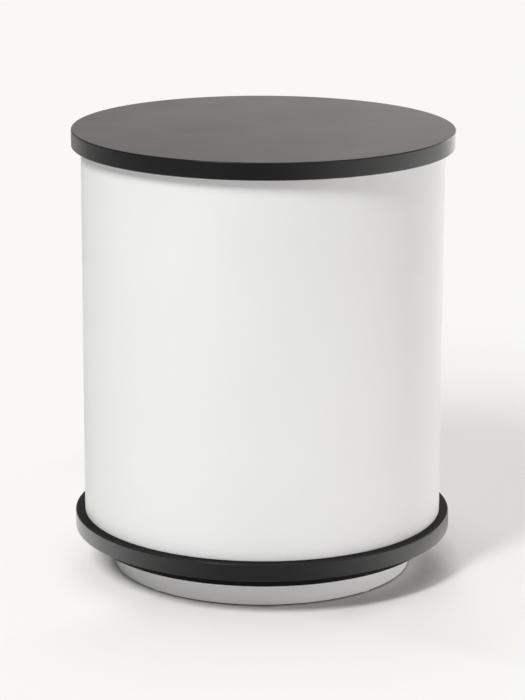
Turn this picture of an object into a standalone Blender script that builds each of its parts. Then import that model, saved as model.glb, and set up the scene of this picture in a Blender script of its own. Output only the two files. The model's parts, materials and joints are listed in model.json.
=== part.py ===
"""Round drum nightstand, in metres, +Z up, standing on z = 0 with its centre line on the Z axis.

A white bent-laminate drum is held between two black boards over a recessed plinth. The closed
back of the drum faces -Y. A slice of the drum facing +Y is the door: it has no handle, turns on
two vertical pivot pins and is held by a push-to-open latch.
Bearings are angles round the drum, counted from +Y towards +X.
"""

import math

import bmesh
import bpy
from mathutils import Matrix, Vector

# Main sizes
OVERALL_HEIGHT = 0.471
DRUM_DIAMETER = 0.380
DRUM_WALL = 0.012
TOP_THICKNESS = 0.018
TOP_OVERHANG = 0.010
BASE_THICKNESS = 0.018
BASE_OVERHANG = 0.010
SHADOW_DISC_THICKNESS = 0.011
SHADOW_DISC_SETBACK = 0.017
PLINTH_HEIGHT = 0.028
PLINTH_SETBACK = 0.025
PLINTH_WALL = 0.018
EDGE_EASING = 0.001

# Boards inside the drum
INNER_BOARD_THICKNESS = 0.016
INNER_BOARD_SETBACK = 0.012
SHELF_THICKNESS = 0.016
SHELF_SETBACK = 0.028
SHELF_CLEARANCE = 0.0008
SHELF_HEIGHT_OVER_FLOOR = 0.160
FRONT_MARGIN = math.radians(3.0)

# Door and its pivots
DOOR_ANGLE = math.radians(100.0)
DOOR_SIDE_GAP = 0.002
DOOR_END_GAP = 0.002
PIVOT_INSET = 0.012
PIVOT_RADIUS = 0.0025
PIVOT_DEPTH_IN_DOOR = 0.020
PIVOT_DEPTH_IN_BUSH = 0.009
BUSH_WALL = 0.0016
BUSH_DEPTH = 0.011
BUSH_FLANGE_REACH = 0.001

# Push latch under the inner ceiling
LATCH_WIDTH = 0.014
LATCH_HEIGHT = 0.015
LATCH_LENGTH = 0.046
LATCH_WING = 0.010
LATCH_WING_THICKNESS = 0.003
LATCH_SETBACK = 0.001
PLUNGER_RIM = 0.0007
PLUNGER_LENGTH = 0.036
PLUNGER_TRAVEL = 0.003
MAGNET_RADIUS = 0.003
MAGNET_LENGTH = 0.003
MAGNET_PROUD = 0.0006
STRIKE_RADIUS = 0.008
STRIKE_THICKNESS = 0.0015

# Shelf pins, glides and screws
SHELF_PIN_RADIUS = 0.0025
SHELF_PIN_DEPTH = 0.008
SHELF_PIN_REACH = 0.009
SHELF_PIN_FROM_DOOR = math.radians(20.0)
SHELF_PIN_FROM_BACK = math.radians(40.0)
GLIDE_RADIUS = 0.0075
GLIDE_HEIGHT = 0.0015
GLIDE_STEM_RADIUS = 0.002
GLIDE_STEM_LENGTH = 0.008
SCREW_RADIUS = 0.002
SCREW_HEAD_RADIUS = 0.004
SCREW_BITE = 0.010
SMALL_SCREW_RADIUS = 0.0012
SMALL_SCREW_HEAD_RADIUS = 0.0024
SMALL_SCREW_BITE = 0.008
SCREW_TIP = 0.002
TOP_SCREW_INSET = 0.045
BASE_SCREW_INSET = 0.022
PLINTH_SCREW_COUNTERBORE = 0.010

# Fits
SEAT = 0.0003
RUNNING_FIT = 0.0003

# Places round the drum
QUARTERS = [math.radians(degrees) for degrees in (0, 90, 180, 270)]
DIAGONALS = [math.radians(degrees) for degrees in (45, 135, 225, 315)]

# Facets
DISC_SIDES = 96
SMALL_SIDES = 16
EASING_STEPS = 2
SHARP_ANGLE = math.radians(35.0)

# Levels of the stack
PLINTH_BOTTOM = GLIDE_HEIGHT + SEAT
PLINTH_TOP = PLINTH_BOTTOM + PLINTH_HEIGHT
SHADOW_DISC_BOTTOM = PLINTH_TOP + SEAT
SHADOW_DISC_TOP = SHADOW_DISC_BOTTOM + SHADOW_DISC_THICKNESS
BASE_BOTTOM = SHADOW_DISC_TOP + SEAT
BASE_TOP = BASE_BOTTOM + BASE_THICKNESS
TOP_BOTTOM = OVERALL_HEIGHT - TOP_THICKNESS
DRUM_BOTTOM = BASE_TOP + SEAT
DRUM_TOP = TOP_BOTTOM - SEAT
FLOOR_TOP = DRUM_BOTTOM + INNER_BOARD_THICKNESS
CEILING_BOTTOM = DRUM_TOP - INNER_BOARD_THICKNESS
SHELF_BOTTOM = FLOOR_TOP + SHELF_HEIGHT_OVER_FLOOR
DOOR_BOTTOM = BASE_TOP + DOOR_END_GAP
DOOR_TOP = TOP_BOTTOM - DOOR_END_GAP

# Radii and bearings
DRUM_OUTSIDE = DRUM_DIAMETER / 2
DRUM_INSIDE = DRUM_OUTSIDE - DRUM_WALL
WALL_MIDDLE = DRUM_OUTSIDE - DRUM_WALL / 2
HALF_OPENING = DOOR_ANGLE / 2
HALF_FRONT = HALF_OPENING + FRONT_MARGIN
HALF_DOOR = HALF_OPENING - DOOR_SIDE_GAP / WALL_MIDDLE
PIVOT_BEARING = -HALF_DOOR + PIVOT_INSET / WALL_MIDDLE
TOP_RADIUS = DRUM_OUTSIDE + TOP_OVERHANG
BASE_RADIUS = DRUM_OUTSIDE + BASE_OVERHANG
SHADOW_DISC_RADIUS = BASE_RADIUS - SHADOW_DISC_SETBACK
PLINTH_RADIUS = SHADOW_DISC_RADIUS - PLINTH_SETBACK
PLINTH_INSIDE = PLINTH_RADIUS - PLINTH_WALL
PLINTH_MIDDLE = PLINTH_RADIUS - PLINTH_WALL / 2
PLUNGER_RADIUS = MAGNET_RADIUS + SEAT + PLUNGER_RIM

# Colour, roughness and metallic value of each finish
FINISHES = {
    "black_lacquer": ((0.018, 0.018, 0.018), 0.40, 0.0),
    "white_lacquer": ((0.80, 0.79, 0.77), 0.45, 0.0),
    "steel": ((0.62, 0.62, 0.61), 0.30, 1.0),
    "white_nylon": ((0.72, 0.72, 0.70), 0.55, 0.0),
    "grey_plastic": ((0.30, 0.30, 0.31), 0.50, 0.0),
}


def clear_scene():
    for thing in list(bpy.data.objects):
        bpy.data.objects.remove(thing, do_unlink=True)


def finish_material(finish):
    """The shared material of one finish, made on first use."""
    material = bpy.data.materials.get(finish)
    if material is None:
        colour, roughness, metallic = FINISHES[finish]
        material = bpy.data.materials.new(finish)
        material.use_nodes = True
        shader = material.node_tree.nodes["Principled BSDF"]
        shader.inputs["Base Color"].default_value = (*colour, 1.0)
        shader.inputs["Roughness"].default_value = roughness
        shader.inputs["Metallic"].default_value = metallic
    return material


def at_bearing(radius, bearing, height=0.0):
    return Vector((radius * math.sin(bearing), radius * math.cos(bearing), height))


def arc(radius, first, last):
    """Points on a round stretch, as finely divided as a full disc."""
    steps = max(1, math.ceil(abs(last - first) / math.tau * DISC_SIDES))
    return [at_bearing(radius, first + (last - first) * k / steps) for k in range(steps + 1)]


def circle(radius):
    return [at_bearing(radius, math.tau * k / DISC_SIDES) for k in range(DISC_SIDES)]


def wall_outline(inside, outside, first, last):
    """Plan of a curved wall, and the places of its four corners in the list."""
    outer = arc(outside, first, last)
    inner = arc(inside, last, first)
    count = len(outer)
    return outer + inner, (0, count - 1, count, count + len(inner) - 1)


def stepped_outline(radius, front_radius, half_front):
    """Plan of a round board that is set back behind the door."""
    return arc(radius, half_front, math.tau - half_front) + arc(front_radius, -half_front, half_front)


def prism(outline, bottom, top, marked=(), place=Matrix.Identity(4)):
    """A plan drawn along the Z axis of `place`. Its edges at the marked points are set aside for easing."""
    bm = bmesh.new()
    lower = [bm.verts.new(place @ Vector((point[0], point[1], bottom))) for point in outline]
    upper = [bm.verts.new(place @ Vector((point[0], point[1], top))) for point in outline]
    bm.faces.new(lower)
    bm.faces.new(upper)
    for k, vert in enumerate(lower):
        following = (k + 1) % len(lower)
        bm.faces.new((vert, lower[following], upper[following], upper[k]))
    weight = bm.edges.layers.float.new("bevel_weight_edge")
    for k in marked:
        bm.edges.get((lower[k], upper[k]))[weight] = 1.0
    return bm


def turn(bm, profile, place, sides, ring=False):
    """Turns (radius, height) points about the Z axis of `place`. A ring's profile closes on itself."""
    loops = []
    for radius, height in profile:
        count = sides if radius > 0.0 else 1
        angles = [math.tau * k / count for k in range(count)]
        points = [Vector((radius * math.cos(a), radius * math.sin(a), height)) for a in angles]
        loops.append([bm.verts.new(place @ point) for point in points])
    pairs = list(zip(loops, loops[1:]))
    if ring:
        pairs.append((loops[-1], loops[0]))
    for one, other in pairs:
        for k in range(sides):
            corners = [one[k % len(one)], one[(k + 1) % len(one)]]
            corners += [other[(k + 1) % len(other)], other[k % len(other)]]
            bm.faces.new(list(dict.fromkeys(corners)))


def turned(profile, place, sides=SMALL_SIDES, ring=False):
    bm = bmesh.new()
    turn(bm, profile, place, sides, ring)
    return bm


def rod(radius, low, high):
    """Profile of a plain round rod or hole."""
    return [(0.0, low), (radius, low), (radius, high), (0.0, high)]


def add(name, bm, finish, origin=(0.0, 0.0, 0.0), parent=None):
    """Makes an object from geometry drawn in place, with its origin where it is asked for."""
    bmesh.ops.recalc_face_normals(bm, faces=bm.faces)
    bmesh.ops.translate(bm, verts=bm.verts, vec=-Vector(origin))
    mesh = bpy.data.meshes.new(name)
    bm.to_mesh(mesh)
    bm.free()
    mesh.shade_smooth()
    mesh.set_sharp_from_angle(angle=SHARP_ANGLE)
    mesh.materials.append(finish_material(finish))
    thing = bpy.data.objects.new(name, mesh)
    bpy.context.scene.collection.objects.link(thing)
    thing.location = origin
    if parent is not None:
        thing.parent = parent
        thing.location = Vector(origin) - parent.location
    return thing


def ease(thing, limit):
    """Rounds over all the sharp edges of a board, or only those that prism set aside."""
    bevel = thing.modifiers.new("eased_edges", "BEVEL")
    bevel.width = EDGE_EASING
    bevel.segments = EASING_STEPS
    bevel.limit_method = limit
    bevel.angle_limit = SHARP_ANGLE


def cutter(name, bm):
    thing = add(name, bm, "steel")
    thing.hide_render = True
    thing.display_type = "WIRE"
    return thing


def cut(tool, *targets):
    for target in targets:
        boolean = target.modifiers.new(tool.name, "BOOLEAN")
        boolean.operation = "DIFFERENCE"
        boolean.object = tool


def lift(x, y, height):
    return Matrix.Translation((x, y, height))


def screw_profile(radius, head_radius, length):
    """Countersunk screw that points up from the face of its head."""
    return [
        (0.0, 0.0),
        (head_radius, 0.0),
        (radius, head_radius - radius),
        (radius, length - SCREW_TIP),
        (0.0, length),
    ]


def screws(name, centres, head_level, length, boards, radius=SCREW_RADIUS,
           head_radius=SCREW_HEAD_RADIUS, counterbore=0.0):
    """A set of screws driven upwards through the boards, and their holes, open below the heads."""
    holes = bmesh.new()
    screw = screw_profile(radius, head_radius, length)
    mouth = -counterbore - SEAT
    grown = screw_profile(radius + SEAT, head_radius + SEAT, length + SEAT)
    hole = [(0.0, mouth), (head_radius + SEAT, mouth)] + grown[1:]
    for number, centre in enumerate(centres, start=1):
        place = lift(centre.x, centre.y, head_level)
        add(f"{name}_{number}", turned(screw, place), "steel", place.translation)
        turn(holes, hole, place, SMALL_SIDES)
    cut(cutter(f"{name}_holes", holes), *boards)


def make_boards():
    """The black boards, the plinth and the boards inside the drum."""
    boards = {}
    flats = (
        ("top_panel", TOP_RADIUS, TOP_BOTTOM, OVERALL_HEIGHT),
        ("base_panel", BASE_RADIUS, BASE_BOTTOM, BASE_TOP),
        ("shadow_disc", SHADOW_DISC_RADIUS, SHADOW_DISC_BOTTOM, SHADOW_DISC_TOP),
    )
    for name, radius, bottom, top in flats:
        boards[name] = add(name, prism(circle(radius), bottom, top), "black_lacquer", (0, 0, bottom))
        ease(boards[name], "ANGLE")
    inner = (
        ("floor_panel", DRUM_BOTTOM, FLOOR_TOP),
        ("ceiling_panel", CEILING_BOTTOM, DRUM_TOP),
    )
    plan = stepped_outline(DRUM_INSIDE - SEAT, DRUM_INSIDE - INNER_BOARD_SETBACK, HALF_FRONT)
    for name, bottom, top in inner:
        boards[name] = add(name, prism(plan, bottom, top), "white_lacquer", (0, 0, bottom))
    section = [
        (PLINTH_INSIDE, PLINTH_BOTTOM),
        (PLINTH_RADIUS, PLINTH_BOTTOM),
        (PLINTH_RADIUS, PLINTH_TOP),
        (PLINTH_INSIDE, PLINTH_TOP),
    ]
    ring = turned(section, Matrix.Identity(4), DISC_SIDES, ring=True)
    boards["plinth_ring"] = add("plinth_ring", ring, "white_lacquer", (0, 0, PLINTH_BOTTOM))
    return boards


def make_drum():
    """The fixed wall of the drum, with its shelf and the pins that carry it."""
    plan, corners = wall_outline(DRUM_INSIDE, DRUM_OUTSIDE, HALF_OPENING, math.tau - HALF_OPENING)
    wall = prism(plan, DRUM_BOTTOM, DRUM_TOP, corners)
    shell = add("drum_shell", wall, "white_lacquer", (0, 0, DRUM_BOTTOM))
    ease(shell, "WEIGHT")
    pin_level = SHELF_BOTTOM - SEAT - SHELF_PIN_RADIUS
    pin = rod(SHELF_PIN_RADIUS, -SHELF_PIN_DEPTH, SHELF_PIN_REACH)
    hole = rod(SHELF_PIN_RADIUS + SEAT, -SHELF_PIN_DEPTH - SEAT, SHELF_PIN_REACH)
    holes = bmesh.new()
    side, back = HALF_OPENING + SHELF_PIN_FROM_DOOR, math.pi - SHELF_PIN_FROM_BACK
    up = Vector((0.0, 0.0, 1.0))
    for number, bearing in enumerate((side, back, -back, -side), start=1):
        inwards = -at_bearing(1.0, bearing)
        place = Matrix((up, inwards.cross(up), inwards)).transposed().to_4x4()
        place.translation = at_bearing(DRUM_INSIDE, bearing, pin_level)
        add(f"shelf_pin_{number}", turned(pin, place), "steel", place.translation)
        turn(holes, hole, place, SMALL_SIDES)
    cut(cutter("shelf_pin_holes", holes), shell)
    plan = stepped_outline(DRUM_INSIDE - SHELF_CLEARANCE, DRUM_INSIDE - SHELF_SETBACK, HALF_FRONT)
    shelf = prism(plan, SHELF_BOTTOM, SHELF_BOTTOM + SHELF_THICKNESS)
    add("shelf", shelf, "white_lacquer", (0, 0, SHELF_BOTTOM))


def make_door(boards):
    """The door with its pivot pins, which turn in flanged bushes let into the two black boards."""
    axis = at_bearing(WALL_MIDDLE, PIVOT_BEARING)
    hinge = bpy.data.objects.new("door_hinge", None)
    bpy.context.scene.collection.objects.link(hinge)
    hinge.location = axis
    plan, corners = wall_outline(DRUM_INSIDE, DRUM_OUTSIDE, -HALF_DOOR, HALF_DOOR)
    door = add("door_panel", prism(plan, DOOR_BOTTOM, DOOR_TOP, corners), "white_lacquer", axis, hinge)
    ease(door, "WEIGHT")
    bores = bmesh.new()
    pin = rod(PIVOT_RADIUS, -PIVOT_DEPTH_IN_DOOR, DOOR_END_GAP + PIVOT_DEPTH_IN_BUSH)
    bore = rod(PIVOT_RADIUS + SEAT, -PIVOT_DEPTH_IN_DOOR - SEAT, DOOR_END_GAP)
    bush_inside = PIVOT_RADIUS + RUNNING_FIT
    bush_outside = bush_inside + BUSH_WALL
    flange = bush_outside + BUSH_FLANGE_REACH
    bush = [
        (bush_inside, SEAT),
        (flange, SEAT),
        (flange, DOOR_END_GAP - SEAT),
        (bush_outside, DOOR_END_GAP - SEAT),
        (bush_outside, DOOR_END_GAP + BUSH_DEPTH),
        (bush_inside, DOOR_END_GAP + BUSH_DEPTH),
    ]
    socket = rod(bush_outside + SEAT, SEAT, DOOR_END_GAP + BUSH_DEPTH + SEAT)
    upside_down = Matrix.Rotation(math.pi, 4, "X")
    ends = (
        ("upper", lift(axis.x, axis.y, DOOR_TOP), boards["top_panel"]),
        ("lower", lift(axis.x, axis.y, DOOR_BOTTOM) @ upside_down, boards["base_panel"]),
    )
    for end, place, board in ends:
        spot = place.translation
        add(f"{end}_pivot_pin", turned(pin, place), "steel", spot, hinge)
        add(f"{end}_pivot_bush", turned(bush, place, ring=True), "white_nylon", spot)
        turn(bores, bore, place, SMALL_SIDES)
        cut(cutter(f"{end}_bush_socket", turned(socket, place)), board)
    cut(cutter("pivot_bores", bores), door)
    return hinge


def make_latch(boards, hinge):
    """The push latch under the ceiling, and the strike plate on the door that its magnet holds."""
    level = CEILING_BOTTOM - SEAT - LATCH_HEIGHT / 2
    outwards = Matrix.Rotation(-math.pi / 2, 4, "X")
    flat_inside = DRUM_INSIDE * math.cos(math.pi / DISC_SIDES)
    strike_back = math.sqrt(flat_inside**2 - STRIKE_RADIUS**2) - SEAT
    strike_place = lift(0.0, strike_back, level) @ outwards
    plate = turned(rod(STRIKE_RADIUS, -STRIKE_THICKNESS, 0.0), strike_place, 2 * SMALL_SIDES)
    add("strike_plate", plate, "steel", strike_place.translation, hinge)

    tip = strike_back - STRIKE_THICKNESS - SEAT - MAGNET_PROUD
    place = lift(0.0, tip, level) @ outwards
    pocket = MAGNET_LENGTH - MAGNET_PROUD + SEAT
    magnet = rod(MAGNET_RADIUS, MAGNET_PROUD - MAGNET_LENGTH, MAGNET_PROUD)
    plunger = [
        (0.0, -PLUNGER_LENGTH),
        (PLUNGER_RADIUS, -PLUNGER_LENGTH),
        (PLUNGER_RADIUS, 0.0),
        (MAGNET_RADIUS + SEAT, 0.0),
        (MAGNET_RADIUS + SEAT, -pocket),
        (0.0, -pocket),
    ]
    add("latch_magnet", turned(magnet, place), "steel", place.translation)
    add("push_latch_plunger", turned(plunger, place), "grey_plastic", place.translation)

    front = DRUM_INSIDE - INNER_BOARD_SETBACK - LATCH_SETBACK
    top = CEILING_BOTTOM - SEAT
    half = LATCH_WIDTH / 2
    wing = half + LATCH_WING
    wing_level = top - LATCH_WING_THICKNESS
    section = [
        (-wing, top),
        (wing, top),
        (wing, wing_level),
        (half, wing_level),
        (half, top - LATCH_HEIGHT),
        (-half, top - LATCH_HEIGHT),
        (-half, wing_level),
        (-wing, wing_level),
    ]
    backwards = Matrix.Rotation(math.pi / 2, 4, "X")
    block = prism(section, -front, LATCH_LENGTH - front, place=backwards)
    body = add("push_latch_body", block, "grey_plastic", (0.0, front, level))
    bore = rod(PLUNGER_RADIUS + SEAT, -PLUNGER_LENGTH - PLUNGER_TRAVEL - SEAT, 0.0)
    cut(cutter("plunger_bore", turned(bore, place)), body)
    screw_x = (half + wing) / 2
    middle = front - LATCH_LENGTH / 2
    screws("latch_screw", [Vector((-screw_x, middle)), Vector((screw_x, middle))], wing_level,
           LATCH_WING_THICKNESS + SEAT + SMALL_SCREW_BITE, [body, boards["ceiling_panel"]],
           SMALL_SCREW_RADIUS, SMALL_SCREW_HEAD_RADIUS)


def make_fixings(boards):
    """The screws that hold the boards together, and the glides under the plinth."""
    top_circle = DRUM_INSIDE - TOP_SCREW_INSET
    screws("top_screw", [at_bearing(top_circle, b) for b in DIAGONALS], CEILING_BOTTOM,
           INNER_BOARD_THICKNESS + SEAT + SCREW_BITE, [boards["ceiling_panel"], boards["top_panel"]])
    base_circle = PLINTH_INSIDE - BASE_SCREW_INSET
    through = SHADOW_DISC_THICKNESS + SEAT + BASE_THICKNESS + SEAT
    screws("base_screw", [at_bearing(base_circle, b) for b in QUARTERS], SHADOW_DISC_BOTTOM,
           through + SCREW_BITE, [boards["shadow_disc"], boards["base_panel"], boards["floor_panel"]])
    plinth_length = PLINTH_HEIGHT - PLINTH_SCREW_COUNTERBORE + SEAT + SHADOW_DISC_THICKNESS / 2
    screws("plinth_screw", [at_bearing(PLINTH_MIDDLE, b) for b in QUARTERS],
           PLINTH_BOTTOM + PLINTH_SCREW_COUNTERBORE, plinth_length,
           [boards["plinth_ring"], boards["shadow_disc"]], counterbore=PLINTH_SCREW_COUNTERBORE)
    stem_top = GLIDE_HEIGHT + GLIDE_STEM_LENGTH
    glide = [
        (0.0, 0.0),
        (GLIDE_RADIUS - GLIDE_HEIGHT / 2, 0.0),
        (GLIDE_RADIUS, GLIDE_HEIGHT / 2),
        (GLIDE_RADIUS, GLIDE_HEIGHT),
        (GLIDE_STEM_RADIUS, GLIDE_HEIGHT),
        (GLIDE_STEM_RADIUS, stem_top),
        (0.0, stem_top),
    ]
    hole = rod(GLIDE_STEM_RADIUS + SEAT, GLIDE_HEIGHT, stem_top + SEAT)
    holes = bmesh.new()
    for number, bearing in enumerate(DIAGONALS, start=1):
        place = Matrix.Translation(at_bearing(PLINTH_MIDDLE, bearing))
        add(f"glide_{number}", turned(glide, place), "white_nylon", place.translation)
        turn(holes, hole, place, SMALL_SIDES)
    cut(cutter("glide_holes", holes), boards["plinth_ring"])


clear_scene()
all_boards = make_boards()
make_drum()
door_hinge = make_door(all_boards)
make_latch(all_boards, door_hinge)
make_fixings(all_boards)
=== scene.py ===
"""Looks of the round drum nightstand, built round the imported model. Metres, +Z up.

The camera stands on the -Y side, before the closed back of the drum. The door is on the far side.
Bearings are angles round the drum, counted from +Y towards +X.
"""

import json
import math

import bmesh
import bpy
from mathutils import Matrix, Vector

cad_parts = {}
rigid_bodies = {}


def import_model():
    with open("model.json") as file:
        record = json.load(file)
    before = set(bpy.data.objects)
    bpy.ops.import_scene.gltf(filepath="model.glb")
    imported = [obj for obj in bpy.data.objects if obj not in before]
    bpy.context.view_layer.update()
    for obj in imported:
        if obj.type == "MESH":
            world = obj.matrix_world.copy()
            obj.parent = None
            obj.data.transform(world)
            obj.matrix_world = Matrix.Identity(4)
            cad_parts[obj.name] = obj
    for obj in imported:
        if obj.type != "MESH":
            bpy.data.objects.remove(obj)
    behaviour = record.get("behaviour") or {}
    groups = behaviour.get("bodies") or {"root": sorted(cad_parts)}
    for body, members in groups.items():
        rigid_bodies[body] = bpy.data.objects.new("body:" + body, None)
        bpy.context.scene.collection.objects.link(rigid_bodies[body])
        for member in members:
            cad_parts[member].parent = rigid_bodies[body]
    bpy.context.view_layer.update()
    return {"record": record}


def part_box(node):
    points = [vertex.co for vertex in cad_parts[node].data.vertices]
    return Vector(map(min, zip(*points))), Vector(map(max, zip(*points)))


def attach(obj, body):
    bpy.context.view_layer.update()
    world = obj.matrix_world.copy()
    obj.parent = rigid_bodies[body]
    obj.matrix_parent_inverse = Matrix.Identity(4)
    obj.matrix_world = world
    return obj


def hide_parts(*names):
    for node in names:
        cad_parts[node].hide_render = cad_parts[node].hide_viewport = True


# Drum, in plan. Half angles are counted from the middle of the door.
DRUM_OUTSIDE = 0.190
DRUM_INSIDE = 0.178
WALL_MIDDLE = (DRUM_OUTSIDE + DRUM_INSIDE) / 2
HALF_OPENING = math.radians(50.0)
DOOR_GAP = 0.002
HALF_DOOR = HALF_OPENING - DOOR_GAP / WALL_MIDDLE
HALF_FRONT = HALF_OPENING + math.radians(3.0)
BOARD_RADIUS = DRUM_INSIDE - 0.0001
BOARD_FRONT = DRUM_INSIDE - 0.012
SHELF_RADIUS = DRUM_INSIDE - 0.0008
SHELF_FRONT = DRUM_INSIDE - 0.028
PLINTH_WALL = 0.018

# Boards touch here, where the solids keep a seat of air
SEAT = 0.0003
TOUCH = 0.00005

# Edges
BOARD_EASING = 0.0011
WALL_EASING = 0.0009
PLINTH_EASING = 0.0008
SMALL_EASING = 0.0003
EASING_STEPS = 6
GUARD = 0.0005
WELD = 0.000002

# Facets
DISC_SIDES = 288
SMALL_SIDES = 48
SCREW_SIDES = 24
THREAD_ROWS = 6
CORNER_STEPS = 8
WALL_BANDS = 7
SHARP_ANGLE = math.radians(32.0)

# Holes and fixings. A cut starts outside the face by the overcut.
# Each screw of a set has its own turn, in radians.
HOLE_CLEARANCE = 0.00015
OVERCUT = 0.001
PLINTH_COUNTERBORE = 0.010
THREAD_PITCH = 0.0016
SMALL_THREAD_PITCH = 0.0010
DRIVER_TURNS = (0.35, 1.20, 0.80, 1.75)
SCREWS = (
    ("top_screw", 4, THREAD_PITCH),
    ("base_screw", 4, THREAD_PITCH),
    ("plinth_screw", 4, THREAD_PITCH),
    ("latch_screw", 2, SMALL_THREAD_PITCH),
)
GLIDE_STEM = 0.002

# Pivots
PIN_RADIUS = 0.0025
PIN_GROOVES = 5
PIN_GROOVE_START = 0.004
PIN_GROOVE_PITCH = 0.0024
PIN_GROOVE_WIDTH = 0.0012
PIN_GROOVE_DEPTH = 0.0003
BUSH_INSIDE = 0.0028
BUSH_OUTSIDE = 0.0044
BUSH_FLANGE = 0.0054
BUSH_BRIM = 0.0014

# Push latch
LATCH_HALF_WIDTH = 0.007
LATCH_EASING = 0.0012
LATCH_PLATE = 0.003
LATCH_PLATE_CORNER = 0.0035
LATCH_PLATE_EASING = 0.0005
LATCH_STEP = 0.0004
LATCH_BORE = 0.0043
LATCH_CHAMFER = 0.0009
PRESS_ROOM = 0.0033
PARTING_LEVEL = 0.0048
PARTING_LINE = (0.0008, 0.060, 0.0004)
GRIP_RIBS = 5
GRIP_START = 0.006
GRIP_PITCH = 0.0024
GRIP_RIB = (0.0090, 0.0010, 0.0008)
PLUNGER_RADIUS = 0.004
MAGNET_RADIUS = 0.003
MAGNET_CLEARANCE = 0.0001
MAGNET_POCKET = 0.0027
MAGNET_EASING = 0.00025
OUTWARDS = Matrix.Rotation(-math.pi / 2, 4, "X")

# Camera, from the perspective of the board edges in the photograph
CAMERA_PLACE = (-0.0002, -2.870, 0.977)
CAMERA_PITCH = 0.2542
CAMERA_ROLL = 0.0037
CAMERA_LENS = 143.68
SENSOR = 36.0

# Background and even light
FLOOR_REACH = 14.0
FLOOR_PAINT = ((0.950, 0.942, 0.925), (0.962, 0.954, 0.937))
# Painted shade: colour of the dark floor patch under the plinth, which darkens the slit below it
FLOOR_PAINTED_SHADE = (0.15, 0.148, 0.145, 1.0)
BACKGROUND = (0.947, 0.939, 0.922)
AMBIENT = (0.022, 0.020, 0.018)

# Share of the background in the floor, by distance from the middle: in the object's shadow, in front of
# it towards the key lamp, and on its open left. A side is measured along its heading and sets in between
# its two values. Further aside than the shadow's half width, the floor is all background.
# Near the object the mixed-in background is painted light over the floor's shade, lifting its shadow.
FADE_REACH = 1.2
SHADOW_PAINTED_LIGHT = (
    (0.176, 0.0), (0.188, 0.08), (0.200, 0.22), (0.218, 0.44), (0.300, 0.51),
    (0.60, 0.54), (0.75, 0.60), (0.90, 0.72), (1.10, 1.0),
)
FRONT_PAINTED_LIGHT = (
    (0.167, 0.0), (0.180, 0.36), (0.200, 0.48), (0.260, 0.60), (0.340, 0.80), (0.420, 0.95), (0.50, 1.0),
)
LEFT_PAINTED_LIGHT = (
    (0.159, 0.0), (0.164, 0.14), (0.169, 0.26), (0.175, 0.37), (0.190, 0.50),
    (0.205, 0.70), (0.220, 0.84), (0.250, 0.95), (1.10, 1.0),
)
KEY_HEADING = (-0.549, -0.836, 0.0)
FRONT_SIDE = (0.07, 0.14)
OPEN_HEADING = (-1.0, 0.05, 0.0)
LEFT_SIDE = (0.1, 0.7)
ACROSS_KEY = (0.836, -0.549, 0.0)
SHADOW_HALF_WIDTH = (0.22, 0.42)

# Round patch of the floor under the plinth, by distance from the middle. It is painted dark as shade for the
# slit under the plinth, and lets the lamp below through.
FLOOR_WINDOW = ((0.1565, 1.0), (0.1578, 0.0))

# The studio as gloss sees it: the sky by the sine of its elevation, and its levels on the left and right
SKY_STOPS = (
    (0.0, 1.30), (0.08, 1.20), (0.16, 0.82), (0.20, 0.51), (0.30, 0.29),
    (0.42, 0.14), (0.70, 0.14), (0.82, 0.45), (0.93, 1.10), (1.0, 1.20),
)
SKY_TINT = (1.03, 0.965, 0.950)
SKY_SIDES = (0.62, 2.25)
SKY_HALF_WIDTH = 0.30

# The floor as gloss sees it: two rings whose level goes by degrees from -Y towards +X
NEAR_GLOW = (
    (-180.0, 0.0), (-153.0, 0.0), (-137.0, 0.4), (-126.0, 1.1), (-116.0, 1.8), (-102.0, 2.2),
    (-90.0, 3.0), (-67.0, 3.8), (-39.0, 1.9), (-15.0, 0.9), (15.0, 0.9), (36.0, 2.1),
    (64.0, 3.9), (96.0, 2.0), (124.0, 0.2), (148.0, 0.0), (180.0, 0.0),
)
FAR_GLOW = (
    (-180.0, 2.4), (-170.0, 1.0), (-160.0, 0.6), (-150.0, 0.82), (-142.0, 1.2), (-130.0, 0.97),
    (-106.0, 1.0), (-65.0, 0.6), (-32.0, 0.6), (-10.0, 0.05), (10.0, 0.05), (30.0, 1.3), (64.0, 4.1),
    (104.0, 4.6), (115.0, 3.2), (130.0, 2.0), (142.0, 2.4), (150.0, 2.4), (163.0, 3.4), (180.0, 2.4),
)
NEAR_REACH = (0.215, 0.90)
FAR_REACH = (0.90, 3.60)
GLOW_LEVEL = 0.0005

# Softboxes: name, place, width, height, level, whether gloss shows it, tint
LAMP_AIM = Vector((0.0, 0.0, 0.25))
WHITE = (1.0, 1.0, 1.0)
LAMPS = (
    ("key", (-1.57, -2.39, 3.24), 0.55, 1.3, 0.695, True, WHITE),
    ("low", (-0.18, -0.90, 0.05), 0.8, 0.08, 0.142, False, (1.0, 0.972, 0.945)),
    ("right", (2.83, -0.25, 0.55), 1.0, 1.0, 0.322, False, (1.0, 0.985, 0.965)),
    ("low_right", (0.62, -0.30, 0.05), 0.5, 0.08, 0.056, False, (1.0, 0.97, 0.94)),
    ("rim", (1.65, 1.95, 0.62), 0.7, 0.9, 0.165, True, WHITE),
    ("left_rim", (-2.00, 1.35, 0.60), 0.8, 0.9, 0.096, False, WHITE),
    ("under", (0.0, 0.0, -0.40), 0.15, 0.15, 0.14, True, WHITE),
    ("back", (0.0, 3.20, 1.60), 1.2, 1.2, 0.44, False, (1.0, 0.96, 0.92)),
)


def clear_scene():
    for thing in list(bpy.data.objects):
        bpy.data.objects.remove(thing, do_unlink=True)


clear_scene()
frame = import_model()
record = frame["record"]
BODY_OF = {node: body for body, nodes in record["behaviour"]["bodies"].items() for node in nodes}
SLOT_OF = {row["node"]: row["material_slot"] for row in record["subparts"]}


# Materials


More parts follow.
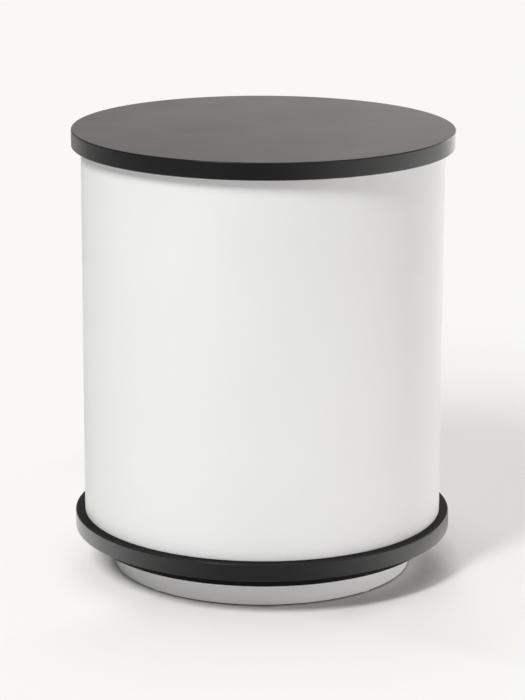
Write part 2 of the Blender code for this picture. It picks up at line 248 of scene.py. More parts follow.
class Nodes:
    """A short way of writing a shader tree."""

    def __init__(self, tree):
        self.tree = tree
        self.tree.nodes.clear()

    def add(self, kind, inputs=(), **settings):
        node = self.tree.nodes.new(kind)
        for name, value in settings.items():
            setattr(node, name, value)
        for name, value in dict(inputs).items():
            self.set(node.inputs[name], value)
        return node

    def set(self, socket, value):
        if isinstance(value, bpy.types.NodeSocket):
            self.tree.links.new(value, socket)
        else:
            socket.default_value = value

    def place(self):
        return self.add("ShaderNodeTexCoord").outputs["Object"]

    def noise(self, vector, scale, detail=2.0, roughness=0.5):
        inputs = {"Vector": vector, "Scale": scale, "Detail": detail, "Roughness": roughness}
        return self.add("ShaderNodeTexNoise", inputs).outputs["Fac"]

    def stretch(self, vector, scale):
        return self.add("ShaderNodeMapping", {"Vector": vector, "Scale": scale}).outputs["Vector"]

    def spread(self, value, low, high, start=0.3, end=0.7):
        inputs = {"Value": value, "From Min": start, "From Max": end, "To Min": low, "To Max": high}
        return self.add("ShaderNodeMapRange", inputs).outputs["Result"]

    def between(self, value, one, other, start=0.3, end=0.7):
        """A colour that runs from one to the other with the value."""
        ramp = self.add("ShaderNodeValToRGB", {"Fac": value})
        low, high = ramp.color_ramp.elements
        low.position, low.color = start, (*one, 1.0)
        high.position, high.color = end, (*other, 1.0)
        return ramp.outputs["Color"]

    def stops(self, value, table, tint=WHITE):
        """A colour whose level follows the (value, level) rows of the table."""
        ramp = self.add("ShaderNodeValToRGB", {"Fac": value})
        while len(ramp.color_ramp.elements) < len(table):
            ramp.color_ramp.elements.new(0.5)
        for element, (position, level) in zip(ramp.color_ramp.elements, table):
            element.position = position
            element.color = (*(level * c for c in tint), 1.0)
        return ramp.outputs["Color"]

    def calc(self, operation, *values):
        inputs = dict(enumerate(values))
        return self.add("ShaderNodeMath", inputs, operation=operation).outputs["Value"]

    def sum(self, one, other, share):
        return self.calc("MULTIPLY_ADD", other, share, one)

    def dot(self, one, other):
        inputs = {0: one, 1: other}
        return self.add("ShaderNodeVectorMath", inputs, operation="DOT_PRODUCT").outputs["Value"]

    def mix(self, share, one, other):
        """One shader that passes into the other with the share."""
        return self.add("ShaderNodeMixShader", {0: share, 1: one, 2: other}).outputs["Shader"]

    def bump(self, height, depth):
        """The surface raised by the height value times the depth, in metres."""
        inputs = {"Height": height, "Strength": 1.0, "Distance": depth}
        return self.add("ShaderNodeBump", inputs).outputs["Normal"]

    def finish(self, inputs):
        shader = self.add("ShaderNodeBsdfPrincipled", inputs)
        self.add("ShaderNodeOutputMaterial", {"Surface": shader.outputs["BSDF"]})


def new_material(name):
    material = bpy.data.materials.new(name)
    material.use_nodes = True
    return material, Nodes(material.node_tree)


def black_lacquer(name, roughness, gloss):
    """Sprayed black: soft cloudy sheen, a fine orange peel and a few burnished patches."""
    material, n = new_material(name)
    at = n.place()
    clouds = n.noise(at, 9.0, 3.0)
    peel = n.noise(at, 520.0, 2.0)
    grit = n.noise(at, 2600.0, 1.0)
    rub = n.noise(at, 16.0, 4.0, 0.6)
    n.finish({
        "Base Color": n.between(clouds, (0.0085, 0.0085, 0.0090), (0.0110, 0.0108, 0.0108)),
        "Roughness": n.spread(n.sum(rub, grit, 0.35), *roughness, 0.35, 0.95),
        "Specular IOR Level": gloss,
        "Normal": n.bump(n.sum(peel, grit, 0.3), 0.000012),
    })
    return material


def white_lacquer():
    """Sprayed matt white: even, with a faint drift of tone and a fine orange peel."""
    material, n = new_material("matt_white_lacquer")
    at = n.place()
    drift = n.noise(at, 5.0, 2.0)
    peel = n.noise(at, 420.0, 2.0)
    grit = n.noise(at, 2200.0, 1.0)
    n.finish({
        "Base Color": n.between(drift, (0.812, 0.819, 0.806), (0.838, 0.846, 0.835)),
        "Roughness": n.spread(n.sum(drift, grit, 0.5), 0.46, 0.58, 0.45, 1.05),
        "Specular IOR Level": 0.06,
        "Normal": n.bump(n.sum(peel, grit, 0.25), 0.000010),
    })
    return material


def steel(name, dark, light):
    """Plated steel: grey with a slight spangle and drawn lines."""
    material, n = new_material(name)
    at = n.place()
    spangle = n.noise(at, 900.0, 2.0)
    drawn = n.noise(n.stretch(at, (5000.0, 5000.0, 250.0)), 1.0, 2.0)
    n.finish({
        "Base Color": n.between(spangle, dark, light),
        "Metallic": 1.0,
        "Roughness": n.spread(n.sum(drawn, spangle, 0.4), 0.24, 0.40, 0.35, 1.0),
        "Normal": n.bump(drawn, 0.000004),
    })
    return material


def nylon():
    """Moulded nylon: milky white, slightly translucent, with a fine mould grain."""
    material, n = new_material("moulded_nylon")
    at = n.place()
    cloud = n.noise(at, 160.0, 2.0)
    grain = n.noise(at, 3200.0, 2.0)
    n.finish({
        "Base Color": n.between(cloud, (0.69, 0.69, 0.665), (0.75, 0.75, 0.735)),
        "Roughness": n.spread(n.sum(cloud, grain, 0.6), 0.46, 0.62, 0.5, 1.1),
        "Subsurface Weight": 0.15,
        "Subsurface Scale": 0.001,
        "Normal": n.bump(grain, 0.000010),
    })
    return material


def grey_plastic():
    """Moulded grey plastic with a spark-eroded texture."""
    material, n = new_material("moulded_grey_plastic")
    at = n.place()
    cloud = n.noise(at, 120.0, 2.0)
    grain = n.noise(at, 2400.0, 3.0, 0.6)
    mottle = n.sum(cloud, grain, 0.4)
    n.finish({
        "Base Color": n.between(mottle, (0.265, 0.267, 0.275), (0.325, 0.325, 0.332), 0.5, 0.9),
        "Roughness": n.spread(grain, 0.42, 0.62),
        "Normal": n.bump(grain, 0.000022),
    })
    return material


FINISHES = {
    "black_lacquer": black_lacquer("satin_black_lacquer", (0.285, 0.325), 0.20),
    "white_lacquer": white_lacquer(),
    "steel": steel("zinc_plated_steel", (0.54, 0.55, 0.56), (0.68, 0.68, 0.66)),
    "white_nylon": nylon(),
    "grey_plastic": grey_plastic(),
}
MATT_BLACK = black_lacquer("matt_black_lacquer", (0.42, 0.48), 0.03)
DULL_STEEL = steel("dull_steel", (0.185, 0.188, 0.194), (0.255, 0.255, 0.250))


# Geometry


def at_bearing(radius, bearing, height=0.0):
    return Vector((radius * math.sin(bearing), radius * math.cos(bearing), height))


def arc(radius, first, last):
    """Points on a round stretch, as finely divided as a full disc."""
    steps = max(2, math.ceil(abs(last - first) / math.tau * DISC_SIDES))
    return [at_bearing(radius, first + (last - first) * k / steps) for k in range(steps + 1)]


def eased(corners, steps=EASING_STEPS):
    """A profile of (radius, height, easing) corners with each one rounded by its easing.

    A guard point beside each rounding keeps its shading off the flat next to it.
    """
    points = []
    for k, (radius, height, easing) in enumerate(corners):
        here = Vector((radius, height))
        if easing <= 0.0:
            points.append(here)
            continue
        back = (Vector(corners[k - 1][:2]) - here).normalized()
        on = (Vector(corners[(k + 1) % len(corners)][:2]) - here).normalized()
        half = back.angle(on) / 2
        reach = easing / math.tan(half)
        centre = here + (back + on).normalized() * easing / math.sin(half)
        first, last = here + back * reach - centre, here + on * reach - centre
        guard = min(GUARD, easing / 2)
        points.append(here + back * (reach + guard))
        for s in range(steps + 1):
            points.append(centre + first.lerp(last, s / steps).normalized() * easing)
        points.append(here + on * (reach + guard))
    return points


def turn(bm, profile, place=Matrix.Identity(4), sides=SMALL_SIDES, ring=False):
    """Turns (radius, height) points about the Z axis of `place`. A ring's profile closes on itself."""
    loops = []
    for radius, height in profile:
        count = sides if radius > 1e-9 else 1
        angles = [math.tau * k / count for k in range(count)]
        points = [Vector((radius * math.cos(a), radius * math.sin(a), height)) for a in angles]
        loops.append([bm.verts.new(place @ point) for point in points])
    pairs = list(zip(loops, loops[1:]))
    if ring:
        pairs.append((loops[-1], loops[0]))
    for one, other in pairs:
        for k in range(sides):
            corners = [one[k % len(one)], one[(k + 1) % len(one)]]
            corners += [other[(k + 1) % len(other)], other[k % len(other)]]
            bm.faces.new(list(dict.fromkeys(corners)))


def turned(profile, place=Matrix.Identity(4), sides=SMALL_SIDES, ring=False):
    bm = bmesh.new()
    turn(bm, profile, place, sides, ring)
    return bm


def rod(radius, low, high, easing=0.0):
    return eased([(0.0, low, 0.0), (radius, low, easing), (radius, high, easing), (0.0, high, 0.0)])


def bridge(bm, loops):
    """Joins each closed loop of points to the next with a band of faces."""
    for one, other in zip(loops, loops[1:]):
        for k, point in enumerate(one):
            following = (k + 1) % len(one)
            bm.faces.new((point, one[following], other[following], other[k]))


def prism(outline, bottom, top):
    bm = bmesh.new()
    lower = [bm.verts.new((point[0], point[1], bottom)) for point in outline]
    upper = [bm.verts.new((point[0], point[1], top)) for point in outline]
    bm.faces.new(lower)
    bm.faces.new(upper)
    bridge(bm, (lower, upper))
    return bm


def section(inside, outside, bottom, top, easing):
    """Rounded rectangle in a plane through the Z axis, as (radius, height) points."""
    corners = [
        (outside, bottom, easing),
        (outside, top, easing),
        (inside, top, easing),
        (inside, bottom, easing),
    ]
    points = eased(corners)
    rows = []
    for one, other in zip(points, points[1:] + points[:1]):
        rows.append(one)
        if (other - one).length > (top - bottom) / 2:
            rows += [one.lerp(other, k / WALL_BANDS) for k in range(1, WALL_BANDS)]
    return rows


def curved_wall(inside, outside, bottom, top, first, last, easing):
    """A slice of the drum's wall with all its edges rounded over."""
    middle = (inside + outside) / 2
    rounding = []
    for s in range(EASING_STEPS + 1):
        angle = math.pi / 2 * s / EASING_STEPS
        rounding.append((easing * (1 - math.sin(angle)), easing * (1 - math.cos(angle))))
    rounding.reverse()
    start = [(first + depth / middle, inset) for depth, inset in rounding]
    end = [(last - depth / middle, inset) for depth, inset in reversed(rounding)]
    low, high = start[-1][0] + GUARD / middle, end[0][0] - GUARD / middle
    steps = math.ceil((high - low) / math.tau * DISC_SIDES)
    run = [(low + (high - low) * k / steps, 0.0) for k in range(steps + 1)]
    caps = [(first, easing + GUARD)], [(last, easing + GUARD)]
    bm = bmesh.new()
    loops = []
    for bearing, inset in caps[0] + start + run + end + caps[1]:
        left = max(easing - inset, easing / 8)
        rows = section(inside + inset, outside - inset, bottom + inset, top - inset, left)
        loops.append([bm.verts.new(at_bearing(r, bearing, z)) for r, z in rows])
    bridge(bm, loops)
    bm.faces.new(loops[0])
    bm.faces.new(loops[-1])
    return bm


def mesh_from(bm, name):
    bmesh.ops.recalc_face_normals(bm, faces=bm.faces)
    mesh = bpy.data.meshes.new(name)
    bm.to_mesh(mesh)
    bm.free()
    return mesh


def smooth(mesh):
    mesh.shade_smooth()
    mesh.set_sharp_from_angle(angle=SHARP_ANGLE)


def new_object(name, mesh):
    thing = bpy.data.objects.new(name, mesh)
    bpy.context.scene.collection.objects.link(thing)
    return thing


def applied(thing):
    """The mesh of an object with its modifiers applied. The object is removed."""
    scene_now = bpy.context.evaluated_depsgraph_get()
    mesh = bpy.data.meshes.new_from_object(thing.evaluated_get(scene_now))
    bpy.data.objects.remove(thing)
    return mesh


def combined(mesh, other, operation):
    """The mesh with the other one joined to it or cut from it."""
    tool = new_object("tool", other)
    block = new_object("block", mesh)
    boolean = block.modifiers.new("combined", "BOOLEAN")
    boolean.operation = operation
    boolean.solver = "EXACT"
    boolean.object = tool
    result = applied(block)
    bpy.data.objects.remove(tool)
    return result


def welded(mesh):
    """Closes the slivers that a cut leaves where two edges nearly meet."""
    bm = bmesh.new()
    bm.from_mesh(mesh)
    bmesh.ops.remove_doubles(bm, verts=bm.verts, dist=WELD)
    bmesh.ops.dissolve_degenerate(bm, edges=bm.edges, dist=WELD)
    bm.to_mesh(mesh)
    bm.free()
    return mesh


def carved(mesh, holes):
    """The mesh less the closed bodies in `holes`."""
    return welded(combined(mesh, mesh_from(holes, "holes"), "DIFFERENCE"))


def bevelled(mesh, width, steps=4):
    """The mesh with its sharp edges rounded over."""
    block = new_object("block", mesh)
    bevel = block.modifiers.new("easing", "BEVEL")
    bevel.width = width
    bevel.segments = steps
    bevel.limit_method = "ANGLE"
    bevel.angle_limit = SHARP_ANGLE
    bevel.use_clamp_overlap = False
    return applied(block)


def dress(node, mesh, even=False, place=None):
    """Shows the mesh for a CAD node, on the node's body and in its finish."""
    smooth(mesh)
    mesh.materials.clear()
    mesh.materials.append(FINISHES[SLOT_OF[node]])
    piece = new_object(f"{node}_dressed", mesh)
    mesh.name = piece.name
    if place is not None:
        piece.matrix_world = place
    if even:
        weighted = piece.modifiers.new("even_shading", "WEIGHTED_NORMAL")
        weighted.keep_sharp = True
    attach(piece, BODY_OF[node])
    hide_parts(node)
    return piece


def levels(node):
    low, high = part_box(node)
    return low.z, high.z


def spot(node):
    """Middle of a node in plan, at the height of its lowest point."""
    low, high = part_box(node)
    return Vector(((low.x + high.x) / 2, (low.y + high.y) / 2, low.z))


def plan_place(node):
    """Puts a shape that is written at its real height at a node's place in plan."""
    centre = spot(node)
    return Matrix.Translation((centre.x, centre.y, 0.0))


def numbered(name, count=4):
    return [f"{name}_{k}" for k in range(1, count + 1)]


# Holes for the screws, the glides and the pivots


def screw_sizes(node):
    """Length, shank radius and head radius of a screw."""
    low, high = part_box(node)
    head = (high.x - low.x) / 2
    return high.z - low.z, head / 2, head


def drill_screw(holes, node, mouth=OVERCUT):
    """The hole round a screw, open below its head."""
    length, radius, head = screw_sizes(node)
    shank, wide = radius + HOLE_CLEARANCE, head + HOLE_CLEARANCE
    profile = [(0.0, -mouth), (wide, -mouth), (wide, 0.0), (shank, wide - shank)]
    profile += [(shank, length + HOLE_CLEARANCE), (0.0, length + HOLE_CLEARANCE)]
    turn(holes, profile, Matrix.Translation(spot(node)))


def screw_holes(*nodes):
    holes = bmesh.new()
    for node in nodes:
        drill_screw(holes, node)
    return holes


def drill_round(holes, node, radius, low, high):
    turn(holes, rod(radius, low, high), plan_place(node))


# Black boards


def round_board(node, low, high, holes):
    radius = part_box(node)[1].x
    corners = [(0.0, low, 0.0), (radius, low, BOARD_EASING), (radius, high, BOARD_EASING), (0.0, high, 0.0)]
    profile = [(0.0, low)] + [(radius * k / 4, low) for k in (1, 2, 3)]
    profile += eased(corners)[1:-1]
    profile += [(radius * k / 4, high) for k in (3, 2, 1)] + [(0.0, high)]
    return dress(node, carved(mesh_from(turned(profile, sides=DISC_SIDES), node), holes))


def rub_matt(board, upper_face_only=False):
    """Takes the sheen off a board."""
    board.data.materials.append(MATT_BLACK)
    for face in board.data.polygons:
        if face.normal.z > 0.999 or not upper_face_only:
            face.material_index = 1


def make_black_boards():
    top_low, top_high = levels("top_panel")
    base_low, base_high = levels("base_panel")
    socket = BUSH_OUTSIDE + HOLE_CLEARANCE

    holes = screw_holes(*numbered("top_screw"))
    socket_end = levels("upper_pivot_bush")[1] + HOLE_CLEARANCE
    drill_round(holes, "upper_pivot_bush", socket, top_low - OVERCUT, socket_end)
    round_board("top_panel", top_low, top_high, holes)

    holes = screw_holes(*numbered("base_screw"))
    socket_end = levels("lower_pivot_bush")[0] - HOLE_CLEARANCE
    drill_round(holes, "lower_pivot_bush", socket, socket_end, base_high + OVERCUT)
    rub_matt(round_board("base_panel", base_low, base_high, holes), upper_face_only=True)

    holes = screw_holes(*numbered("base_screw"), *numbered("plinth_screw"))
    rub_matt(round_board("shadow_disc", levels("shadow_disc")[0], base_low - TOUCH, holes))


# White boards


def make_plinth():
    low, high = levels("plinth_ring")
    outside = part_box("plinth_ring")[1].x
    inside = outside - PLINTH_WALL
    corners = [
        (outside, low, PLINTH_EASING),
        (outside, high + SEAT - TOUCH, SMALL_EASING),
        (inside, high + SEAT - TOUCH, SMALL_EASING),
        (inside, low, PLINTH_EASING),
    ]
    holes = bmesh.new()
    for node in numbered("plinth_screw"):
        drill_screw(holes, node, PLINTH_COUNTERBORE + OVERCUT)
    for node in numbered("glide"):
        hole_end = levels(node)[1] + HOLE_CLEARANCE
        drill_round(holes, node, GLIDE_STEM + HOLE_CLEARANCE, low - OVERCUT, hole_end)
    ring = turned(eased(corners), sides=DISC_SIDES, ring=True)
    dress("plinth_ring", carved(mesh_from(ring, "plinth"), holes))


def stepped_outline(radius, front):
    """Plan of a round board that is set back behind the door."""
    return arc(radius, HALF_FRONT, math.tau - HALF_FRONT) + arc(front, -HALF_FRONT, HALF_FRONT)


def flat_board(node, outline, low, high, holes=None):
    mesh = bevelled(mesh_from(prism(outline, low, high), node), WALL_EASING)
    if holes is not None:
        mesh = carved(mesh, holes)
    dress(node, mesh, even=True)


def make_white_boards():
    outline = stepped_outline(BOARD_RADIUS, BOARD_FRONT)
    low, high = levels("ceiling_panel")
    holes = screw_holes(*numbered("top_screw"), *numbered("latch_screw", 2))
    flat_board("ceiling_panel", outline, low, high + SEAT - TOUCH, holes)
    low, high = levels("floor_panel")
    holes = screw_holes(*numbered("base_screw"))
    flat_board("floor_panel", outline, low - SEAT + TOUCH, high, holes)
    low, high = levels("shelf")
    flat_board("shelf", stepped_outline(SHELF_RADIUS, SHELF_FRONT), low, high)


def make_walls():
    low, high = levels("drum_shell")
    shell = curved_wall(DRUM_INSIDE, DRUM_OUTSIDE, low - SEAT + TOUCH, high + SEAT - TOUCH,
                        HALF_OPENING, math.tau - HALF_OPENING, WALL_EASING)
    dress("drum_shell", mesh_from(shell, "shell"))
    low, high = levels("door_panel")
    door = curved_wall(DRUM_INSIDE, DRUM_OUTSIDE, low, high, -HALF_DOOR, HALF_DOOR, WALL_EASING)
    bores = bmesh.new()
    for node in ("upper_pivot_pin", "lower_pivot_pin"):
        bottom, top = levels(node)
        drill_round(bores, node, PIN_RADIUS + HOLE_CLEARANCE, bottom - HOLE_CLEARANCE, top + HOLE_CLEARANCE)
    dress("door_panel", carved(mesh_from(door, "door"), bores))


# Pins, bushes, glides and screws


def make_shelf_pins():
    """Shelf supports: a pin with a collar against the wall and a rounded nose under the shelf."""
    up = Vector((0.0, 0.0, 1.0))
    reach, depth, radius, nose = 0.009, 0.008, 0.0025, 0.0011
    collar, collar_back, collar_front = 0.0036, 0.0001, 0.0014
    profile = eased([
        (0.0, -depth, 0.0),
        (radius, -depth, SMALL_EASING),
        (radius, collar_back, 0.0),
        (collar, collar_back, 0.0),
        (collar, collar_front, SMALL_EASING),
        (radius, collar_front, 0.0),
        (radius, reach, nose),
        (0.0, reach, 0.0),
    ])
    for node in numbered("shelf_pin"):
        low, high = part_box(node)
        middle = (low + high) / 2
        inwards = Vector((-middle.x, -middle.y, 0.0)).normalized()
        place = Matrix((up, inwards.cross(up), inwards)).transposed().to_4x4()
        place.translation = -inwards * DRUM_INSIDE + Vector((0.0, 0.0, middle.z))
        dress(node, mesh_from(turned(profile, place), node))


def pin_profile(length):
    """A pin with a row of grooves that hold it in the door's edge."""
    corners = [(0.0, 0.0, 0.0), (PIN_RADIUS, 0.0, 0.0004)]
    neck = PIN_RADIUS - PIN_GROOVE_DEPTH
    for k in range(PIN_GROOVES):
        start = PIN_GROOVE_START + PIN_GROOVE_PITCH * k
        end = start + PIN_GROOVE_WIDTH
        corners += [(PIN_RADIUS, start, 0.0), (neck, start + PIN_GROOVE_DEPTH, 0.0)]
        corners += [(neck, end - PIN_GROOVE_DEPTH, 0.0), (PIN_RADIUS, end, 0.0)]
    return eased(corners + [(PIN_RADIUS, length, 0.0006), (0.0, length, 0.0)])


def bush_profile(length):
    """A flanged bush, with the flange at its start."""
    return eased([
        (BUSH_INSIDE, 0.0, SMALL_EASING),
        (BUSH_FLANGE, 0.0, SMALL_EASING),
        (BUSH_FLANGE, BUSH_BRIM, 0.0002),
        (BUSH_OUTSIDE, BUSH_BRIM, 0.0),
        (BUSH_OUTSIDE, length, SMALL_EASING),
        (BUSH_INSIDE, length, SMALL_EASING),
    ])


def make_pivots():
    """What the door turns on. The lower pin and bush are the upper ones upside down."""
    for end, flip in (("upper", 1.0), ("lower", -1.0)):
        place = plan_place(f"{end}_pivot_pin")
        for node, shape in ((f"{end}_pivot_pin", pin_profile), (f"{end}_pivot_bush", bush_profile)):
            low, high = levels(node)
            start = low if flip > 0 else high
            profile = [(r, start + flip * z) for r, z in shape(high - low)]
            dress(node, mesh_from(turned(profile, place, ring=shape is bush_profile), node))


def make_glides():
    """Nail-in glides: a domed nylon foot on a short stem."""
    radius, dome, shoulder, point = 0.0075, 0.0009, 0.0015 + SEAT - TOUCH, 0.0008
    for node in numbered("glide"):
        top = levels(node)[1]
        profile = eased([
            (0.0, 0.0, 0.0),
            (radius - 0.0008, 0.0, 0.0006),
            (radius, dome, 0.0004),
            (radius, shoulder, 0.0002),
            (GLIDE_STEM, shoulder, 0.0),
            (GLIDE_STEM, top - 0.0015, 0.0),
            (point, top, 0.0),
            (0.0, top, 0.0),
        ])
        dress(node, mesh_from(turned(profile, plan_place(node)), node))


def thread_share(turns):
    """Radius of the thread as a share of the screw's, after so many turns from a root."""
    crest = max(0.0, 1.0 - abs(turns % 1.0 - 0.5) * 4.0)
    return 0.68 + 0.31 * crest


def threaded_screw(length, radius, head, pitch):
    """Countersunk screw that points up from the face of its head, with a helical thread."""
    rim = 0.06 * head
    neck = head - radius + rim
    rings = []
    for row in ((0.82 * head, 0.0), (0.96 * head, 0.0), (head, rim), (0.78 * radius, neck)):
        rings.append([row] * SCREW_SIDES)
    start = neck + 0.4 * pitch
    rows = math.ceil((length - start) / pitch * THREAD_ROWS)
    for j in range(rows):
        z = start + (length - start) * j / rows
        thick = radius * min(1.0, 0.12 + (length - z) / (3.0 * radius))
        shares = [thread_share(z / pitch - k / SCREW_SIDES) for k in range(SCREW_SIDES)]
        rings.append([(thick * share, z) for share in shares])
    bm = bmesh.new()
    angles = [math.tau * k / SCREW_SIDES for k in range(SCREW_SIDES)]
    loops = []
    for ring in rings:
        loops.append([bm.verts.new((r * math.cos(a), r * math.sin(a), z)) for a, (r, z) in zip(angles, ring)])
    bridge(bm, loops)
    bm.faces.new(loops[0])
    tip = bm.verts.new((0.0, 0.0, length))
    for k in range(SCREW_SIDES):
        bm.faces.new((loops[-1][k], loops[-1][(k + 1) % SCREW_SIDES], tip))
    return carved(mesh_from(bm, "screw"), cross_recess(head))


def cross_recess(head):
    """A tapered cross for the driver, sunk in the face of the head."""
    reach, half, depth, above = 0.62 * head, 0.13 * head, 0.55 * head, 0.05 * head
    throat, narrowing = 1.25 * half, 0.42
    plan = []
    for k in range(4):
        a = math.pi / 2 * k
        ahead, aside = Vector((math.cos(a), math.sin(a))), Vector((-math.sin(a), math.cos(a)))
        plan += [ahead * reach - aside * half, ahead * reach + aside * half, (ahead + aside) * throat]
    bm = bmesh.new()
    loops = []
    for scale, z in ((1.0, -above), (1.0, 0.0), (narrowing, depth)):
        loops.append([bm.verts.new((p.x * scale, p.y * scale, z)) for p in plan])
    bridge(bm, loops)
    bm.faces.new(loops[0])
    bm.faces.new(loops[-1])
    return bm


def make_screws():
    for name, count, pitch in SCREWS:
        length, radius, head = screw_sizes(f"{name}_1")
        pattern = threaded_screw(length, radius, head, pitch)
        for node, angle in zip(numbered(name, count), DRIVER_TURNS):
            place = Matrix.Translation(spot(node)) @ Matrix.Rotation(angle, 4, "Z")
            dress(node, pattern.copy(), place=place)
        bpy.data.meshes.remove(pattern)


# Push latch


def cut_box(holes, size, place):
    corners = bmesh.ops.create_cube(holes, size=1.0)["verts"]
    bmesh.ops.scale(holes, vec=size, verts=corners)
    bmesh.ops.translate(holes, vec=place, verts=corners)


def rounded_plan(low, high, corner):
    """Plan of a rectangle with round corners."""
    centres = (
        (high.x - corner, high.y - corner),
        (low.x + corner, high.y - corner),
        (low.x + corner, low.y + corner),
        (high.x - corner, low.y + corner),
    )
    plan = []
    for quarter, (x, y) in enumerate(centres):
        for s in range(CORNER_STEPS + 1):
            a = math.pi / 2 * (quarter + s / CORNER_STEPS)
            plan.append((x + corner * math.cos(a), y + corner * math.sin(a)))
    return plan


def make_latch_body(plunger_back, level):
    """A housing under a screwed plate, bored for the plunger, with a parting line and grip ribs."""
    low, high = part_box("push_latch_body")
    half = LATCH_HALF_WIDTH
    outline = [(-half, low.y), (half, low.y), (half, high.y), (-half, high.y)]
    housing = prism(outline, low.z, high.z - LATCH_STEP)
    plate = prism(rounded_plan(low, high, LATCH_PLATE_CORNER), high.z - LATCH_PLATE, high.z)
    housing = bevelled(mesh_from(housing, "housing"), LATCH_EASING)
    plate = bevelled(mesh_from(plate, "plate"), LATCH_PLATE_EASING)

    holes = bmesh.new()
    back, mouth = plunger_back - PRESS_ROOM - high.y, LATCH_BORE + LATCH_CHAMFER
    profile = [(0.0, back), (LATCH_BORE, back), (LATCH_BORE, -0.0007), (mouth, 0.0002)]
    profile += [(mouth, OVERCUT), (0.0, OVERCUT)]
    turn(holes, profile, Matrix.Translation((0.0, high.y, level)) @ OUTWARDS)
    for node in numbered("latch_screw", 2):
        drill_screw(holes, node)
    for side in (-half, half):
        cut_box(holes, PARTING_LINE, (side, (low.y + high.y) / 2, low.z + PARTING_LEVEL))
    for k in range(GRIP_RIBS):
        cut_box(holes, GRIP_RIB, (0.0, low.y + GRIP_START + GRIP_PITCH * k, low.z))
    dress("push_latch_body", carved(combined(housing, plate, "UNION"), holes), even=True)


def make_latch():
    low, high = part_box("push_latch_plunger")
    tip, level = high.y, (low.z + high.z) / 2
    make_latch_body(low.y, level)

    radius, neck, pocket = PLUNGER_RADIUS, PLUNGER_RADIUS - 0.0003, MAGNET_RADIUS + MAGNET_CLEARANCE
    corners = [
        (0.0, low.y - tip, 0.0),
        (radius, low.y - tip, SMALL_EASING),
        (radius, -0.0042, 0.0),
        (neck, -0.0039, 0.0),
        (neck, -0.0033, 0.0),
        (radius, -0.0030, 0.0),
        (radius, 0.0, 0.0004),
        (pocket, 0.0, 0.0),
        (pocket, -MAGNET_POCKET, 0.0),
        (0.0, -MAGNET_POCKET, 0.0),
    ]
    place = Matrix.Translation((0.0, tip, level)) @ OUTWARDS
    dress("push_latch_plunger", mesh_from(turned(eased(corners), place), "plunger"))
    low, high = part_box("latch_magnet")
    profile = rod(MAGNET_RADIUS, low.y - tip, high.y - tip, MAGNET_EASING)
    dress("latch_magnet", mesh_from(turned(profile, place), "magnet"))


def make_strike():
    """A round plate with a rolled rim, its back shaped to the door's inner face."""
    low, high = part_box("strike_plate")
    radius, level = (high.x - low.x) / 2, (low.z + high.z) / 2
    thickness = high.y - low.y
    corners = [(0.0, -thickness, 0.0), (0.0012, -thickness, 0.0), (radius, -thickness, 0.0006)]
    corners += [(radius * k / 4, 0.0, 0.0) for k in (4, 3, 2, 1, 0)]
    bm = turned(eased(corners), Matrix.Translation((0.0, high.y, level)) @ OUTWARDS)
    for vert in bm.verts:
        if vert.co.y > high.y - 1e-6:
            vert.co.y = math.sqrt(DRUM_INSIDE**2 - vert.co.x**2) - TOUCH
    strike = dress("strike_plate", mesh_from(bm, "strike"))
    strike.data.materials[0] = DULL_STEEL


make_black_boards()
make_plinth()
make_white_boards()
make_walls()
make_shelf_pins()
make_pivots()
make_glides()
make_screws()
make_latch()
make_strike()


# Studio


def scaled(table, reach):
    """Rows of (distance, level) with the distance as a share of the reach."""
    return [(distance / reach, level) for distance, level in table]


def make_floor():
    """A pale floor that keeps the object's shadow, lightened near the object by painted light, and passes
    into the background further out.

    Right under the plinth it is a dark pad, painted shade for the slit under the plinth, that lets the lamp
    below through to the underside.
    From below the floor can't be seen.
    """
    material, n = new_material("studio_floor")
    at = n.place()
    bearing = n.add("ShaderNodeVectorMath", {0: at}, operation="NORMALIZE").outputs["Vector"]
    away = n.add("ShaderNodeVectorMath", {0: at}, operation="LENGTH").outputs["Value"]
    reach = n.spread(away, 0.0, 1.0, 0.0, FADE_REACH)
    path = n.add("ShaderNodeLightPath").outputs

    paint = n.between(n.noise(at, 1.2, 2.0), *FLOOR_PAINT)
    pale = n.add("ShaderNodeBsdfDiffuse", {"Color": paint}).outputs["BSDF"]
    # Painted shade: a dark patch of floor under the plinth darkens the slit below it
    shade_pad = n.add("ShaderNodeBsdfDiffuse", {"Color": FLOOR_PAINTED_SHADE}).outputs["BSDF"]
    window = n.stops(reach, scaled(FLOOR_WINDOW, FADE_REACH))
    matt = n.mix(window, pale, shade_pad)

    # Painted light: near the object the background colour is mixed over the floor's shade for camera rays
    share = n.stops(reach, scaled(SHADOW_PAINTED_LIGHT, FADE_REACH))
    before = n.spread(n.dot(at, KEY_HEADING), 0.0, 1.0, *FRONT_SIDE)
    left = n.spread(n.dot(bearing, OPEN_HEADING), 0.0, 1.0, *LEFT_SIDE)
    for side, table in ((before, FRONT_PAINTED_LIGHT), (left, LEFT_PAINTED_LIGHT)):
        level = n.stops(reach, scaled(table, FADE_REACH))
        share = n.calc("MAXIMUM", share, n.calc("MULTIPLY", level, side))
    aside = n.calc("ABSOLUTE", n.dot(at, ACROSS_KEY))
    share = n.calc("MAXIMUM", share, n.spread(aside, 0.0, 1.0, *SHADOW_HALF_WIDTH))
    share = n.calc("MULTIPLY", share, path["Is Camera Ray"])
    glow = n.add("ShaderNodeEmission", {"Color": (*BACKGROUND, 1.0), "Strength": 1.0}).outputs["Emission"]
    lit_with_painted_light = n.mix(share, matt, glow)

    below = n.add("ShaderNodeNewGeometry").outputs["Backfacing"]
    let_in = n.calc("MULTIPLY", window, path["Is Shadow Ray"])
    clear = n.add("ShaderNodeBsdfTransparent").outputs["BSDF"]
    surface = n.mix(n.calc("MAXIMUM", below, let_in), lit_with_painted_light, clear)
    n.add("ShaderNodeOutputMaterial", {"Surface": surface})

    bm = bmesh.new()
    bmesh.ops.create_grid(bm, x_segments=8, y_segments=8, size=FLOOR_REACH)
    floor = new_object("floor", mesh_from(bm, "floor"))
    floor.data.materials.append(material)


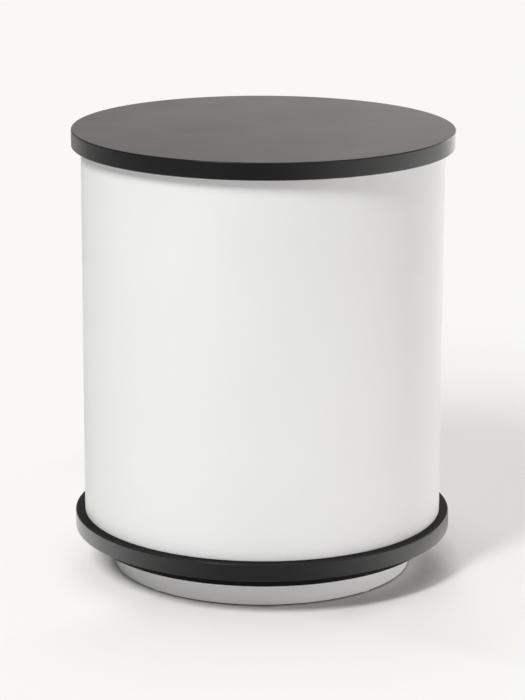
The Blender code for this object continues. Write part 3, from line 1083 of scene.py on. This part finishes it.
def make_world():
    """The background's colour to the camera, a faint even light on the object, and to whatever is glossy
    a studio that is bright low down, overhead and on the right.
    """
    world = bpy.data.worlds.new("studio")
    world.use_nodes = True
    bpy.context.scene.world = world
    n = Nodes(world.node_tree)
    path = n.add("ShaderNodeLightPath").outputs
    gloss = n.calc("MAXIMUM", path["Is Glossy Ray"], path["Is Transmission Ray"])
    direction = n.add("ShaderNodeTexCoord").outputs["Generated"]
    heading = n.add("ShaderNodeSeparateXYZ", {"Vector": direction}).outputs
    sky = n.stops(heading["Z"], SKY_STOPS, SKY_TINT)
    sideways = n.spread(heading["X"], *SKY_SIDES, -SKY_HALF_WIDTH, SKY_HALF_WIDTH)
    plain, mirrored, fill = (
        n.add("ShaderNodeBackground", {"Color": colour, "Strength": strength}).outputs["Background"]
        for colour, strength in (((*BACKGROUND, 1.0), 1.0), (sky, sideways), ((*AMBIENT, 1.0), 1.0))
    )
    surface = n.mix(path["Is Camera Ray"], n.mix(gloss, fill, mirrored), plain)
    n.add("ShaderNodeOutputWorld", {"Surface": surface})


def lamp(name, place, wide, high, level, in_gloss, tint):
    """A softbox aimed at the drum. The level is how bright it makes a white face turned to it there."""
    away = Vector(place) - LAMP_AIM
    light = bpy.data.lights.new(name, "AREA")
    light.shape = "RECTANGLE"
    light.size, light.size_y = wide, high
    light.energy = level * math.pi**2 * away.length_squared
    light.color = tint
    thing = bpy.data.objects.new(name, light)
    thing.visible_camera = False
    thing.visible_glossy = in_gloss
    bpy.context.scene.collection.objects.link(thing)
    thing.location = place
    thing.rotation_euler = (-away).to_track_quat("-Z", "Y").to_euler()


def floor_glow(name, radii, table):
    """A ring of studio floor that only shows in gloss. Its level goes by degrees from -Y towards +X."""
    material, n = new_material(name)
    at = n.add("ShaderNodeSeparateXYZ", {"Vector": n.place()}).outputs
    bearing = n.calc("ARCTAN2", at["X"], n.calc("MULTIPLY", at["Y"], -1.0))
    turn_share = n.spread(bearing, 0.0, 1.0, -math.pi, math.pi)
    level = n.stops(turn_share, [(0.5 + degrees / 360.0, level) for degrees, level in table])
    glow = n.add("ShaderNodeEmission", {"Color": (*BACKGROUND, 1.0), "Strength": level})
    n.add("ShaderNodeOutputMaterial", {"Surface": glow.outputs["Emission"]})
    bm = bmesh.new()
    bearings = [math.tau * k / DISC_SIDES for k in range(DISC_SIDES)]
    bridge(bm, [[bm.verts.new(at_bearing(r, b, GLOW_LEVEL)) for b in bearings] for r in radii])
    ring = new_object(name, mesh_from(bm, name))
    ring.data.materials.append(material)
    ring.visible_camera = False
    ring.visible_diffuse = False
    ring.visible_shadow = False
    ring.visible_transmission = False


def make_camera():
    lens = bpy.data.cameras.new("camera")
    lens.lens = CAMERA_LENS
    lens.sensor_width = SENSOR
    camera = bpy.data.objects.new("camera", lens)
    bpy.context.scene.collection.objects.link(camera)
    tilt = Matrix.Rotation(math.pi / 2 - CAMERA_PITCH, 4, "X") @ Matrix.Rotation(CAMERA_ROLL, 4, "Z")
    camera.matrix_world = Matrix.Translation(CAMERA_PLACE) @ tilt
    bpy.context.scene.camera = camera


make_floor()
make_world()
for row in LAMPS:
    lamp(*row)
floor_glow("near_glow", NEAR_REACH, NEAR_GLOW)
floor_glow("far_glow", FAR_REACH, FAR_GLOW)
make_camera()
bpy.context.scene.view_settings.view_transform = "Standard"
